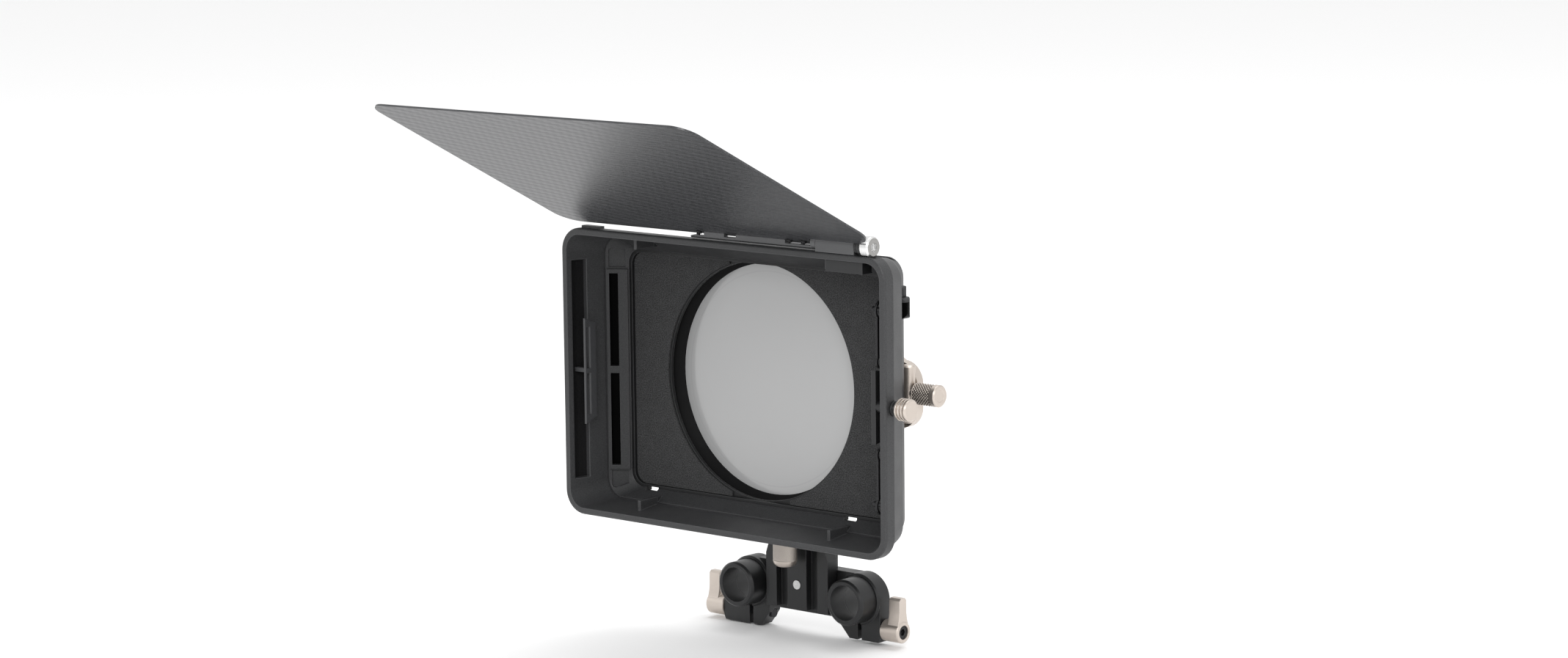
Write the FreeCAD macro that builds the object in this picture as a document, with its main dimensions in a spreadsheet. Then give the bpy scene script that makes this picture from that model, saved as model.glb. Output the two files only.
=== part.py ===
import FreeCAD, Part

import math
import os
import re

import Sketcher
from FreeCAD import Placement, Rotation, Vector

# A clamp-on matte box for 15 mm support rods, in millimetres.
# Origin: centre of the lens bore at its rear mouth. -Y looks out of the hood, +Z is up.

# Driving dimensions, each a named cell of the sheet. A name that ends in "_y" is a place
# along the optical axis, and the others are sizes or distances from that axis.
SIZES = {
    # hood
    "rim_y": -50.0, "frame_width": 175.8, "frame_height": 123.0, "frame_corner": 10.0,
    "lip": 2.8, "flange_depth": 6.0, "step_y": -31.8, "step_width": 160.0, "step_height": 113.0,
    "hood_wall": 2.0, "bay_height": 94.0, "bay_back_y": -40.4, "rib_place": 52.0, "rib_width": 1.4,
    "rib_level": 53.6, "rib_front_y": -42.8,
    # tray stage
    "window_width": 139.4, "window_height": 100.0, "window_drop": 0.3, "window_corner": 5.5,
    "bezel_y": -26.0, "plate_y": -21.6, "stage_back_y": -20.0, "tray_width": 142.4,
    "tray_height": 106.0, "tray_front_y": -25.7, "tray_depth": 3.8, "mask_radius": 50.2,
    "mask_depth": 1.6, "flock_depth": 0.8, "pad_start": 16.0, "bar_height": 86.4, "bar_drop": 1.2,
    # rotating filter
    "drum_radius": 58.0, "drum_bore": 54.6, "drum_back_y": -13.3, "rotor_radius": 54.2,
    "glass_front_y": -15.8, "glass_depth": 1.4, "glass_radius": 51.6, "clear_radius": 48.8,
    "tooth_count": 96, "tooth_height": 0.9,
    # lens ring
    "lens_bore": 47.5, "seal_depth": 1.0, "seal_bore": 46.0, "seal_radius": 49.4,
    # lens lock
    "lock_y": -10.4, "lock_rise": 0.5, "lock_knob_start": 72.4, "lock_knob_length": 12.3,
    "knob_radius": 4.6, "screw_radius": 2.0, "barrel_place": 68.4, "barrel_radius": 2.8,
    # accessory latch
    "latch_y": -44.8, "latch_rise": 0.6, "latch_knob_start": 91.4, "latch_knob_length": 5.7,
    "latch_face": 78.4, "latch_thick": 2.2, "latch_height": 30.0, "clip_face": 77.3, "clip_thick": 1.0,
    # flag and its hinge
    "hinge_y": -47.0, "hinge_height": 64.9, "pin_radius": 1.5, "knuckle_radius": 2.9,
    "clip_start": 52.2, "clip_end": 72.0, "bar_start": -16.0, "nut_radius": 4.35, "nut_end": 80.2,
    "flag_back": 177.0, "flag_front": 170.0, "flag_length": 131.6, "flag_tilt": 26.3,
    "flag_thick": 0.8, "flag_corner": 9.0, "flag_hinge_corner": 14.0, "flag_back_y": -46.1,
    "flag_back_rise": 63.8,
    # rod bracket
    "rod_radius": 7.5, "rod_place": 30.0, "rod_drop": 93.2, "shoe_bottom": 63.0, "shoe_width": 32.0,
    "column_width": 34.0, "column_neck": 26.0, "column_front_y": -1.5, "column_depth": 6.0,
    "column_bottom": 101.0, "foot_thick": 3.6, "thumb_y": -9.0, "thumb_radius": 5.15,
    "thumb_bottom": 80.9, "bush_front_y": -6.7, "block_front_y": 2.7, "block_back_y": 11.0,
    "bush_radius": 9.8, "block_radius": 11.0, "lug_bottom": 110.7, "slit": 2.2,
    "clamp_y": 7.2, "clamp_drop": 105.4, "hub_radius": 4.6, "hub_start": 41.3, "hub_end": 50.9,
    "lever_top": 90.8, "left_lug_out": 4.5, "left_lug_drop": 1.2, "bolt_drop": 90.2,
    "bridge_y": 4.8, "bridge_top": 82.7,
    # clearances
    "gap": 0.3, "running": 0.05,
}

doc = FreeCAD.newDocument("matte_box")
sheet = doc.addObject("Spreadsheet::Sheet", "Sizes")
for row, (alias, value) in enumerate(SIZES.items(), start=1):
    sheet.set(f"A{row}", alias)
    sheet.set(f"B{row}", str(value))
    sheet.setAlias(f"B{row}", alias)
doc.recompute()

WORDS = re.compile(r"[a-z]+(?:_[a-z]+)*")
PARTS = []


# Places of the stage's screws across, and of the flag's screws across and up the sheet
STAGE_SCREWS = (-52.0, -27.0, 27.0, 52.0)
FLAG_SCREWS = ((-11.0, 2.6), (37.5, 2.6), (45.0, 2.6))


def size(alias):
    """One driving dimension, read from the sheet."""
    return float(sheet.get(alias))


def formula(text):
    """A formula in plain names, written so that it reads the sheet's cells."""
    return WORDS.sub(lambda word: "Sizes." + word[0] if word[0] in SIZES else word[0], str(text))


def bind(thing, **formulas):
    """Bind properties of an object to formulas of driving dimensions."""
    for prop, text in formulas.items():
        thing.setExpression(prop.replace("__", "."), formula(text))


def place(thing, x="0", y="0", z="0"):
    """Bind an object's position to formulas."""
    bind(thing, Placement__Base__x=x, Placement__Base__y=y, Placement__Base__z=z)
    return thing


def keep(node, thing):
    """Mark an object as a finished sub-part under its node name."""
    thing.Label = node
    PARTS.append((node, thing))
    return thing


def feature(node, shape, where=Placement()):
    """Keep a shape worked out in code as a sub-part, moved to its place."""
    thing = doc.addObject("Part::Feature", node)
    thing.Shape = shape
    thing.Placement = where
    return keep(node, thing)


ALONG_X = Vector(1, 0, 0)
ALONG_Y = Vector(0, 1, 0)
AXES = {
    "X": Rotation(ALONG_Y, 90),
    "Y": Rotation(ALONG_X, -90),
    "Z": Rotation(),
}
counter = iter(range(10000))


def box(x, y, z, long, deep, tall):
    """A box from its low corner and sides, all formulas."""
    thing = doc.addObject("Part::Box", f"block_{next(counter)}")
    bind(thing, Length=long, Width=deep, Height=tall)
    return place(thing, x, y, z)


def rod(axis, radius, length, x="0", y="0", z="0"):
    """A cylinder along X, Y or Z from the centre of its first end, all formulas."""
    thing = doc.addObject("Part::Cylinder", f"rod_{next(counter)}")
    bind(thing, Radius=radius, Height=length)
    thing.Placement = Placement(Vector(), AXES[axis])
    return place(thing, x, y, z)


def cut(base, *tools):
    """Subtract objects one after another."""
    for tool in tools:
        thing = doc.addObject("Part::Cut", f"cut_{next(counter)}")
        thing.Base = base
        thing.Tool = tool
        base = thing
    return base


def fuse(*pieces):
    """Join objects into one solid."""
    thing = doc.addObject("Part::MultiFuse", f"joined_{next(counter)}")
    thing.Shapes = list(pieces)
    thing.Refine = True
    return thing


def compound(*pieces):
    """Like separate solids, such as a set of screws, in one object."""
    thing = doc.addObject("Part::Compound", f"set_{next(counter)}")
    thing.Links = list(pieces)
    return thing


def value_of(text):
    """The present value of a formula, for the first shape of a sketch."""
    sheet.set("D1", "=" + str(text))
    doc.recompute([sheet])
    value = float(sheet.get("D1"))
    sheet.clear("D1")
    return value


def hold(sketch, kind, text, *ends):
    """Add one constraint whose value is bound to a formula."""
    index = sketch.addConstraint(Sketcher.Constraint(kind, *ends, value_of(text)))
    sketch.setExpression(f"Constraints[{index}]", formula(text))


def outline(body, role, points):
    """A closed outline on one of a body's origin planes; each corner is a pair of formulas."""
    sketch = body.newObject("Sketcher::SketchObject", body.Name + "_outline")
    plane = next(item for item in body.Origin.OriginFeatures if item.Role == role)
    sketch.AttachmentSupport = [(plane, "")]
    sketch.MapMode = "FlatFace"
    corners = [Vector(value_of(across), value_of(up), 0) for across, up in points]
    for number, corner in enumerate(corners):
        sketch.addGeometry(Part.LineSegment(corner, corners[(number + 1) % len(corners)]))
    for number in range(len(corners)):
        following = (number + 1) % len(corners)
        sketch.addConstraint(Sketcher.Constraint("Coincident", number, 2, following, 1))
    for number, (across, up) in enumerate(points):
        hold(sketch, "DistanceX", across, -1, 1, number, 1)
        hold(sketch, "DistanceY", up, -1, 1, number, 1)
    return sketch


def new_body(name):
    """An empty body."""
    return doc.addObject("PartDesign::Body", name)


def turned(name, points, axis="V_Axis", role="XY_Plane"):
    """A turned piece: an outline of radius and place, revolved about the optical axis.

    With axis H_Axis on the XZ plane the outline is place and radius, about X.
    """
    body = new_body(name)
    sketch = outline(body, role, points)
    turn = body.newObject("PartDesign::Revolution", name + "_turn")
    turn.Profile = sketch
    turn.ReferenceAxis = (sketch, [axis])
    turn.Angle = 360
    return body


def padded(name, role, points, length, reverse=False):
    """A plate: an outline padded by a length."""
    body = new_body(name)
    pad = body.newObject("PartDesign::Pad", name + "_pad")
    pad.Profile = outline(body, role, points)
    pad.Reversed = reverse
    bind(pad, Length=length)
    return body


# Shapes worked out in code, for the moulded pieces


def rounded(width, height, corner, y, drop=0.0):
    """A closed wire, square to the optical axis: a rectangle with round corners."""
    across = width / 2 - corner
    up = height / 2 - corner
    centres = [(across, up), (-across, up), (-across, -up), (across, -up)]

    def spot(centre, degrees):
        angle = math.radians(degrees)
        return Vector(centre[0] + corner * math.cos(angle), y, centre[1] - drop + corner * math.sin(angle))

    edges = []
    for number, centre in enumerate(centres):
        start = 90 * number
        following = centres[(number + 1) % 4]
        corner_arc = Part.Arc(spot(centre, start), spot(centre, start + 45), spot(centre, start + 90))
        edges.append(corner_arc.toShape())
        edges.append(Part.makeLine(spot(centre, start + 90), spot(following, start + 90)))
    return Part.Wire(edges)


def prism(wire, length):
    """The solid that a flat wire sweeps along the optical axis."""
    return Part.Face(wire).extrude(Vector(0, length, 0))


def funnel(*wires):
    """A straight-sided solid through several wires."""
    return Part.makeLoft(list(wires), True, True)


def block(low, high):
    """A plain block between two corners."""
    return Part.makeBox(high[0] - low[0], high[1] - low[1], high[2] - low[2], Vector(*low))


def drum(radius, start, end):
    """A cylinder about the optical axis between two places."""
    return Part.makeCylinder(radius, end - start, Vector(0, start, 0), ALONG_Y)


def slab(points, axis, start, end):
    """A prism of a polygon: points lie in the plane square to X, Y or Z, in that order of the others."""
    spots = {
        "X": lambda a, b: Vector(start, a, b),
        "Y": lambda a, b: Vector(a, start, b),
        "Z": lambda a, b: Vector(a, b, start),
    }
    steps = {"X": Vector(end - start, 0, 0), "Y": Vector(0, end - start, 0), "Z": Vector(0, 0, end - start)}
    corners = [spots[axis](*point) for point in points]
    return Part.Face(Part.makePolygon(corners + corners[:1])).extrude(steps[axis])


def mirrored(shape):
    """The same shape on the other side of the middle plane."""
    return shape.mirror(Vector(), ALONG_X)


def soft_rim(shape, y, reach, radius):
    """Fillet the edges that lie in one plane across the axis and reach far enough out."""
    edges = [
        edge for edge in shape.Edges
        if abs(edge.BoundBox.YMin - y) < 1e-4 and abs(edge.BoundBox.YMax - y) < 1e-4
        and max(abs(edge.CenterOfMass.x) / reach[0], abs(edge.CenterOfMass.z) / reach[1]) > 1
    ]
    return shape.makeFillet(radius, edges)


def hood_frame():
    """The moulded hood: a flange with a soft lip, and four walls that draw in to the stage."""
    rim, step, wall = size("rim_y"), size("step_y"), size("hood_wall")
    wide, high, corner = size("frame_width"), size("frame_height"), size("frame_corner")
    lip, back = size("lip"), size("rim_y") + size("flange_depth")
    step_wide, step_high = size("step_width"), size("step_height")
    flange = prism(rounded(wide, high, corner, rim), back - rim)
    flange = soft_rim(flange, rim, (0.4 * wide, 0.4 * high), 1.1)
    flange = soft_rim(flange, back, (0.4 * wide, 0.4 * high), 0.6)
    walls = funnel(
        rounded(wide - 1.8, high - 2.6, corner - 0.8, back - 0.5),
        rounded(step_wide + 2 * wall, step_high + 2 * wall, corner - 1.0, step),
    )
    inside = funnel(
        rounded(wide - 2 * lip, high - 2 * lip, corner - lip, rim),
        rounded(step_wide, step_high, corner - 2.0, step),
    )
    shell = flange.fuse(walls).cut(inside)
    # a deep bay in each side wall, behind the lip
    end = size("bay_back_y")
    bay = slab([(70, -47.5), (86.2, -47.5), (86.0, -44.0), (84.5, end), (70, end)], "Z",
               -size("bay_height") / 2, size("bay_height") / 2)
    shell = shell.cut(bay).cut(mirrored(bay))
    # ribs on floor and ceiling that stop a shade slid into the hood
    half = size("rib_width") / 2
    ribs = []
    for side in (-1, 1):
        middle = side * size("rib_place")
        for flip in (-1, 1):
            low, top = sorted((flip * size("rib_level"), flip * 58.6))
            ribs.append(block((middle - half, size("rib_front_y"), low), (middle + half, step, top)))
    # the accessory lug on the top left, and holes for the hinge clip's screws and the latch bush
    lug = block((-78.0, -47.6, 60.6), (-67.9, -44.4, 62.5))
    shell = shell.fuse(ribs + [lug])
    holes = [Part.makeCylinder(1.15, 8.0, Vector(x, -43.2, 56.5)) for x in clip_screw_places()]
    bush_hole = Part.makeCylinder(3.0, 8.0, Vector(82, size("latch_y"), size("latch_rise")), ALONG_X)
    # a hollow in the flange's top that clears the hinge's nut and washers
    relief = Part.makeCylinder(size("nut_radius") + size("gap"), 12.0,
                               Vector(size("clip_end"), size("hinge_y"), size("hinge_height")), ALONG_X)
    shell = shell.cut(holes + [bush_hole, relief])
    return feature("hood_frame", shell.removeSplitter())


def bay_liner(side, node):
    """A thin light-absorbing strip glued on the floor of one side bay."""
    half, end = size("bay_height") / 2 - 0.3, size("bay_back_y") - 0.2
    outer = [(86.15, -47.4), (85.97, -44.0), (84.55, end)]
    inner = [(84.15, end), (85.57, -44.0), (85.75, -47.4)]
    strip = slab(outer + inner, "Z", -half, half)
    if side > 0:
        hole = Part.makeCylinder(3.2, 8.0, Vector(82, size("latch_y"), size("latch_rise")), ALONG_X)
        return feature(node, strip.cut(hole))
    return feature(node, mirrored(strip))


def clip_screw_places():
    """Where the two screws of the hinge clip stand."""
    middle = (size("clip_start") + size("clip_end")) / 2
    return (middle - 6.0, middle + 6.0)


def stage_housing():
    """The tray stage behind the hood: a sloping bezel, an open-topped channel and a back plate."""
    step, bezel, plate, back = size("step_y"), size("bezel_y"), size("plate_y"), size("stage_back_y")
    wide, high = size("step_width") + 2 * size("hood_wall"), size("step_height") + 2 * size("hood_wall")
    outside = funnel(
        rounded(wide, high, 9.0, step), rounded(154.0, 115.4, 8.0, bezel), rounded(147.0, 114.6, 8.0, back),
    )
    slope = funnel(
        rounded(size("step_width") - 1.6, size("step_height") - 1.4, 7.4, step),
        rounded(size("window_width") + 2.4, size("window_height") + 2.4, 6.4, bezel, size("window_drop")),
    )
    tray_half = size("tray_width") / 2 + size("gap")
    tray_low = -size("tray_height") / 2 - size("window_drop") - size("gap")
    channel = block((-tray_half, bezel, tray_low), (tray_half, plate, 70.0))
    hole = drum(52.0, plate, back)
    shell = outside.cut([slope, channel, hole])
    slots = [channel_slot(side, deep=1.6) for side in (-1, 1)]
    notches = [block((x, plate, -56.0), (x + 10.0, back, -51.4)) for x in (-70.0, 39.6)]
    # each notch goes on through the foot of the bezel
    notches += [block((x, bezel - 2.0, -52.5), (x + 6.6, plate, -51.0)) for x in (-62.6, 46.8)]
    shell = shell.cut(slots + notches + [slope_pocket(side, end) for side in (-1, 1) for end in (-1, 1)])
    half = size("rib_width") / 2
    for side in (-1, 1):
        middle = side * size("rib_place")
        for flip in (-1, 1):
            low, top = sorted((flip * size("rib_level"), flip * 56.4))
            shell = shell.fuse(block((middle - half, step, low), (middle + half, -28.6, top)))
    # a rounded lobe high on each side wall
    lobe = block((70.0, -27.4, 33.4), (79.6, -22.0, 42.2))
    lobe = lobe.makeFillet(2.4, [edge for edge in lobe.Edges if edge.CenterOfMass.x > 79.5])
    shoulder = block((70.0, -26.6, 42.0), (77.9, -22.8, 46.6))
    shoulder = shoulder.makeFillet(1.4, [edge for edge in shoulder.Edges if edge.CenterOfMass.x > 77.8])
    lobe = lobe.fuse(shoulder).cut(block((60.0, -40.0, 30.0), (73.2, -20.0, 50.0)))
    shell = shell.fuse([lobe, mirrored(lobe)])
    screw_holes = [Part.makeCylinder(0.9, 6.0, Vector(x, back - 6.0, -55.8), ALONG_Y)
                   for x in STAGE_SCREWS]
    return feature("stage_housing", shell.cut(screw_holes).removeSplitter())


SLOPE_TOP = (size("step_width") / 2 - 0.8, size("step_y"))
SLOPE_END = (size("window_width") / 2 + 1.2, size("bezel_y"))


def on_slope(side, along, proud):
    """A point of the bezel's side slope: a way down it and a height off it."""
    run = (SLOPE_END[0] - SLOPE_TOP[0], SLOPE_END[1] - SLOPE_TOP[1])
    length = math.hypot(*run)
    across = SLOPE_TOP[0] + run[0] * along / length + proud * run[1] / length * -1
    deep = SLOPE_TOP[1] + run[1] * along / length + proud * run[0] / length
    return (side * across, deep)


def channel_slot(side, deep):
    """The pair of long slots in one guide bar, sunk into the slope behind it."""
    points = [on_slope(side, 1.5, 1.6), on_slope(side, 5.3, 1.6), on_slope(side, 5.3, -deep),
              on_slope(side, 1.5, -deep)]
    middle, reach = -size("bar_drop"), size("bar_height") / 2 - 1.7
    upper = slab(points, "Z", middle + 1.5, middle + reach)
    lower = slab(points, "Z", middle - reach, middle - 1.5)
    return upper.fuse(lower)


def slope_pocket(side, end):
    """A shallow sunk field on the slope, above or below a guide bar."""
    points = [on_slope(side, 1.2, 1.0), on_slope(side, 8.6, 1.0), on_slope(side, 8.6, -0.8),
              on_slope(side, 1.2, -0.8)]
    near, far = size("bar_height") / 2 + 0.8, size("step_height") / 2 - 5.2
    low, high = sorted((end * near - size("bar_drop"), end * far - size("bar_drop") * (end < 0)))
    pocket = slab(points, "Z", low, high)
    corners = [edge for edge in pocket.Edges
               if edge.Length < 2.5 and abs(edge.CenterOfMass.z - end * far) < size("bar_drop") + 0.1]
    return pocket.makeFillet(1.6, corners)


def guide_bar(side, node):
    """A moulded bar on the side slope that guides a shade, with a long slot in two halves."""
    half, middle = size("bar_height") / 2, -size("bar_drop")
    points = [on_slope(side, 0.3, 0.0), on_slope(side, 9.4, 0.0), on_slope(side, 9.4, 1.1),
              on_slope(side, 0.3, 1.1)]
    bar = slab(points, "Z", middle - half, middle + half)
    return feature(node, bar.cut(channel_slot(side, deep=1.0)))


# Each strip's outer and inner eye: height, radius and place, then the place and end of its foot
STRIP_EYES = ((39.6, 4.0, -43.6, -40.6, 82.2), (18.8, 2.9, -44.2, -42.4, 84.5))


def spring_strips():
    """Two thin strips inside the right wall: each has an eye at both ends and feet on the wall."""
    front, thick = 80.5, 0.8
    strips = []
    for flip in (1, -1):
        pieces = []
        holes = []
        for z, radius, y, foot_y, foot_end in STRIP_EYES:
            pieces.append(Part.makeCylinder(radius, thick, Vector(front, y, z * flip), ALONG_X))
            holes.append(Part.makeCylinder(radius - 0.9, thick, Vector(front, y, z * flip), ALONG_X))
            low, high = z * flip - 1.4, z * flip + 1.4
            pieces.append(block((front, foot_y, low), (foot_end, foot_y + 0.9, high)))
        low, high = sorted((20.4 * flip, 37.0 * flip))
        pieces.append(block((front, -46.6, low), (front + thick, -45.4, high)))
        strips.append(pieces[0].fuse(pieces[1:]).cut(holes).removeSplitter())
    return feature("spring_strips", Part.makeCompound(strips))


def tray_frame():
    """The filter tray's frame, with its pull tab on top and a rebate behind for the mask."""
    front, deep, drop = size("tray_front_y"), size("tray_depth"), size("window_drop")
    frame = prism(rounded(size("tray_width"), size("tray_height"), 3.0, front, drop), deep)
    window = prism(rounded(size("window_width"), size("window_height"), size("window_corner"),
                           front, drop), deep)
    rebate_y = front + deep - size("mask_depth")
    rebate = prism(rounded(size("tray_width") - 1.8, size("tray_height") - 2.4, 6.0, rebate_y, drop), deep)
    top = size("tray_height") / 2 - drop
    tab = block((-16.0, front + 0.4, top - 1.0), (16.0, front + deep - 0.6, 57.4))
    grip = block((-12.0, front, top + 1.4), (12.0, front + 1.2, 56.2))
    notches = [block((x, front, -size("tray_height") / 2 - drop), (x + 8.0, front + deep, -51.1))
               for x in (-63.6, 45.4)]
    frame = frame.fuse(tab).cut([window, rebate, grip] + notches)
    return feature("tray_frame", frame)


def mask_plate():
    """The plate in the tray with the round aperture."""
    back = size("tray_front_y") + size("tray_depth")
    front = back - size("mask_depth")
    drop = size("window_drop")
    plate = prism(rounded(size("tray_width") - 1.8, size("tray_height") - 2.4, 6.0, front, drop),
                  back - front)
    notches = [block((x, front, -size("tray_height") / 2 - drop), (x + 8.0, back, -51.1))
               for x in (-63.6, 45.4)]
    return feature("mask_plate", plate.cut([drum(size("mask_radius"), front, back)] + notches))


def flock_pad(side, node):
    """A flocked pad on the mask, on one side of the round aperture."""
    back = size("tray_front_y") + size("tray_depth") - size("mask_depth")
    front = back - size("flock_depth")
    inset = 0.2
    pad = prism(rounded(size("window_width") - inset, size("window_height") - inset,
                        size("window_corner"), front, size("window_drop")), back - front)
    start = size("pad_start")
    reach = block((start, front, -60), (90, back, 60))
    if side < 0:
        reach = mirrored(reach)
    return feature(node, pad.common(reach).cut(drum(size("mask_radius") + 0.7, front, back)))


def filter_ring():
    """The ring that turns with the round filter: a bevelled seat inside, teeth for the finger outside."""
    front = size("stage_back_y") + size("gap")
    seat, back = size("glass_front_y"), size("drum_back_y") - 0.45
    outer, root = size("rotor_radius"), size("rotor_radius") - size("tooth_height")
    profile = [(root, front), (53.4, front), (size("clear_radius"), seat - 0.5), (size("clear_radius"), seat),
               (size("glass_radius"), seat), (size("glass_radius"), back), (root, back)]
    corners = [Vector(radius, y, 0) for radius, y in profile]
    face = Part.Face(Part.makePolygon(corners + corners[:1]))
    ring = face.revolve(Vector(), ALONG_Y, 360)
    count = int(size("tooth_count"))
    pitch = 2 * math.pi / count
    rim = []
    for number in range(count):
        for turn, radius in ((0.0, root - 0.3), (0.08, root), (0.3, outer), (0.62, outer), (0.84, root)):
            angle = pitch * (number + turn)
            rim.append(Vector(radius * math.cos(angle), front + 0.8, radius * math.sin(angle)))
    rim = [spot for spot in rim if math.hypot(spot.x, spot.z) > root - 0.1]
    gear = Part.Face(Part.makePolygon(rim + rim[:1])).extrude(Vector(0, back - front - 1.6, 0))
    gear = gear.cut(drum(root - 0.6, front, back))
    return feature("filter_ring", ring.fuse(gear))


def rear_drum():
    """The fixed drum round the turning filter, open at top and bottom for the finger."""
    start, end = size("stage_back_y"), size("drum_back_y")
    wall = drum(size("drum_radius"), start, end).cut(drum(size("drum_bore"), start, end))
    for flip in (1, -1):
        low, top = sorted((flip * 40.0, flip * 62.0))
        wall = wall.cut(block((-17.0, start + 1.1, low), (17.0, end - 1.0, top)))
    return feature("rear_drum", wall)


def lock_bracket():
    """The cast bracket on the lens ring: a saddle, a plate with blended shoulders and a screw barrel."""
    ring = size("drum_radius") + 0.02
    lock, rise = size("lock_y"), size("lock_rise")
    middle, front, back = -1.1, -8.8, -4.9
    saddle = block((50.0, -12.9, middle - 18.0), (60.6, back, middle + 17.6)).cut(drum(ring, -13.5, 0.5))

    def spot(x, rise):
        return Vector(x, front, middle + rise)

    curve = [
        Part.makeLine(spot(56.0, 17.6), spot(60.2, 17.6)),
        Part.Arc(spot(60.2, 17.6), spot(61.0, 15.5), spot(63.0, 13.9)).toShape(),
        Part.Arc(spot(63.0, 13.9), spot(69.6, 10.4), spot(71.5, 4.6)).toShape(),
        Part.makeLine(spot(71.5, 4.6), spot(71.5, 0.0)),
        Part.makeLine(spot(71.5, 0.0), spot(56.0, 0.0)),
        Part.makeLine(spot(56.0, 0.0), spot(56.0, 17.6)),
    ]
    upper = Part.Face(Part.Wire(curve)).extrude(Vector(0, back - front, 0))
    lower = upper.mirror(Vector(0, 0, middle), Vector(0, 0, 1))
    plate = upper.fuse(lower).removeSplitter().cut(drum(ring, -13.5, 0.5))
    web = block((58.0, -12.9, -11.0), (67.4, -8.0, 10.0)).cut(drum(ring, -13.5, 0.5))
    place_x, radius = size("barrel_place"), size("barrel_radius")
    barrel = Part.makeCylinder(radius, 24.0, Vector(place_x, lock, -12.0))
    barrel = barrel.makeChamfer(0.8, round_edges(barrel))
    bracket = saddle.fuse([web, barrel, plate])
    bore = Part.makeCylinder(size("screw_radius") + size("running"), 30.0, Vector(50, lock, rise), ALONG_X)
    return feature("lock_bracket", bracket.cut(bore).removeSplitter())


def round_edges(shape):
    """The full circles among a shape's edges."""
    return [edge for edge in shape.Edges if edge.Curve.TypeId == "Part::GeomCircle"]


def lug_shift(side):
    """How much farther out and down the left clamp's screw sits than the right one's."""
    return (size("left_lug_out"), size("left_lug_drop")) if side < 0 else (0.0, 0.0)


def rod_bridge():
    """The bridge between the rods: two split clamp blocks and a slotted back plate for the height bolt."""
    front, back = size("block_front_y"), size("block_back_y")
    x, drop, slit = size("rod_place"), size("rod_drop"), size("slit")
    middle = block((-x, size("bridge_y"), -drop - 6.0), (x, back, -size("bridge_top")))
    plate = block((-15.0, size("bridge_y"), -103.0), (15.0, size("bridge_y") + 3.0, -76.0))
    shape = middle.fuse(plate)
    lug_front, lug_back = 3.6, 10.6
    for side in (-1, 1):
        body = Part.makeCylinder(size("block_radius"), back - front, Vector(side * x, front, -drop), ALONG_Y)
        body = body.makeChamfer(0.7, round_edges(body))
        out, low = lug_shift(side)
        bottom = -size("lug_bottom") - low
        lug = slab([(side * (x - 11.0), -drop - 1.0), (side * (x - 10.2), -105.5), (side * (x - 5.5), bottom),
                    (side * (x + 10.2 + out), bottom), (side * (x + 11.0 + out), bottom + 2.0),
                    (side * (x + 11.0 + out), -drop - 8.0), (side * (x + 11.0), -drop)],
                   "Y", lug_front, lug_back)
        shape = shape.fuse([body, lug])
    for side in (-1, 1):
        bore = Part.makeCylinder(size("rod_radius"), 60.0, Vector(side * x, -20.0, -drop), ALONG_Y)
        gap = block((side * x - slit / 2, front - 1.0, -120.0), (side * x + slit / 2, back + 1.0, -drop))
        clamp_z = -size("clamp_drop") - lug_shift(side)[1]
        screw = Part.makeCylinder(size("screw_radius") + size("running"), 40.0,
                                  Vector(side * x - 20.0, size("clamp_y"), clamp_z), ALONG_X)
        shape = shape.cut([bore, gap, screw])
    half = size("screw_radius") + 0.3
    slot = block((-half, 0.0, -99.2), (half, 20.0, -81.6))
    hollow = block((-11.0, size("bridge_y") + 3.0, -99.3), (11.0, 20.0, -82.6))
    return feature("rod_bridge", shape.cut([slot, hollow]).removeSplitter())


def clamp_lever(side, node):
    """A thumb lever: a hub on the clamp screw with a flat arm, and a key socket in its end."""
    out, low = lug_shift(side)
    y, z = size("clamp_y"), -size("clamp_drop") - low
    start, end = size("hub_start") + out, size("hub_end") + out
    hub = Part.makeCylinder(size("hub_radius"), end - start, Vector(start, y, z), ALONG_X)
    hub = hub.makeChamfer(0.4, round_edges(hub))
    top = -size("lever_top") - low
    near, far, radius = end - 6.0, end - 0.4, size("hub_radius")
    flank = Part.Arc(Vector(near, y - radius + 0.1, z + 0.6), Vector(near, y - 2.9, z + 4.6),
                     Vector(near, y - 2.3, z + 8.0)).toShape()
    half = [flank, Part.makeLine(Vector(near, y - 2.3, z + 8.0), Vector(near, y - 2.2, top - 1.0)),
            Part.makeLine(Vector(near, y - 2.2, top - 1.0), Vector(near, y - 1.2, top)),
            Part.makeLine(Vector(near, y - 1.2, top), Vector(near, y, top)),
            Part.makeLine(Vector(near, y, top), Vector(near, y, z + 0.6)),
            Part.makeLine(Vector(near, y, z + 0.6), Vector(near, y - radius + 0.1, z + 0.6))]
    half_arm = Part.Face(Part.Wire(half)).extrude(Vector(far - near, 0, 0))
    arm = half_arm.fuse(half_arm.mirror(Vector(0, y, 0), ALONG_Y)).removeSplitter()
    lever = hub.fuse(arm).cut(Part.makeCylinder(size("screw_radius") + size("running"), 20.0,
                                                Vector(start - 1, y, z), ALONG_X))
    lever = lever.cut(Part.makeCylinder(3.0, 4.0, Vector(end - 3.0, y, z), ALONG_X))
    return feature(node, lever if side > 0 else mirrored(lever))


def clamp_screw(side, node):
    """The clamp's cap screw, with its socket head sunk in the lever's hub."""
    out, low = lug_shift(side)
    y, z = size("clamp_y"), -size("clamp_drop") - low
    start, seat = size("rod_place") - 10.0, size("hub_end") + out - 3.0
    shank = Part.makeCylinder(size("screw_radius"), seat - start, Vector(start, y, z), ALONG_X)
    head = Part.makeCylinder(2.9, 2.4, Vector(seat, y, z), ALONG_X)
    socket = Part.Face(Part.makePolygon([
        Vector(seat + 0.8, y + 1.6 * math.cos(math.radians(60 * turn)),
               z + 1.6 * math.sin(math.radians(60 * turn))) for turn in range(7)
    ])).extrude(Vector(4, 0, 0))
    screw = shank.fuse(head).cut(socket)
    return feature(node, screw if side > 0 else mirrored(screw))


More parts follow.
